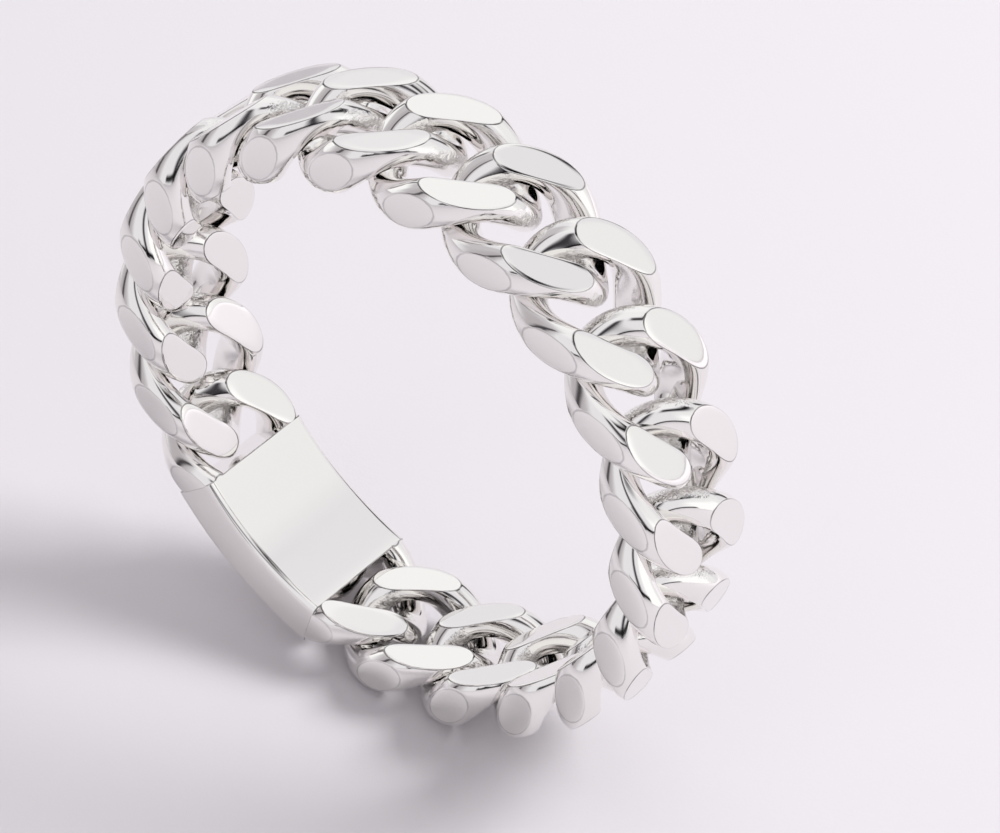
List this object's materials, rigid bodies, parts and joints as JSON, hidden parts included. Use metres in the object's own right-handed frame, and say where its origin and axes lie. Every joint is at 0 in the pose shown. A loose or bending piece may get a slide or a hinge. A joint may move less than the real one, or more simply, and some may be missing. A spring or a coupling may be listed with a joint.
{
  "type": "cuban link bracelet",
  "caption": "Cuban link bracelet: a loop of thick twisted oval links, hooked through one another, ground flat on every side and polished, closed by a plain clasp.",
  "frame": {"origin": "middle of the loop, where the middle of the wrist goes", "axes": "+Y along the loop's axis, the way the wrist goes in; +Z and +X across the loop, with the clasp below and to the -X side"},
  "size_m": [0.073, 0.015, 0.0729],
  "materials": {
    "polished_steel": "mirror polished"
  },
  "bodies": {
    "root": {"link_01": "polished_steel", "link_02": "polished_steel", "link_03": "polished_steel", "link_04": "polished_steel", "link_05": "polished_steel", "link_06": "polished_steel", "link_07": "polished_steel", "link_08": "polished_steel", "link_09": "polished_steel", "link_10": "polished_steel", "link_11": "polished_steel", "link_12": "polished_steel", "link_13": "polished_steel", "link_14": "polished_steel", "link_15": "polished_steel", "link_16": "polished_steel", "link_17": "polished_steel", "link_18": "polished_steel", "clasp": "polished_steel"}
  },
  "joints": []
}
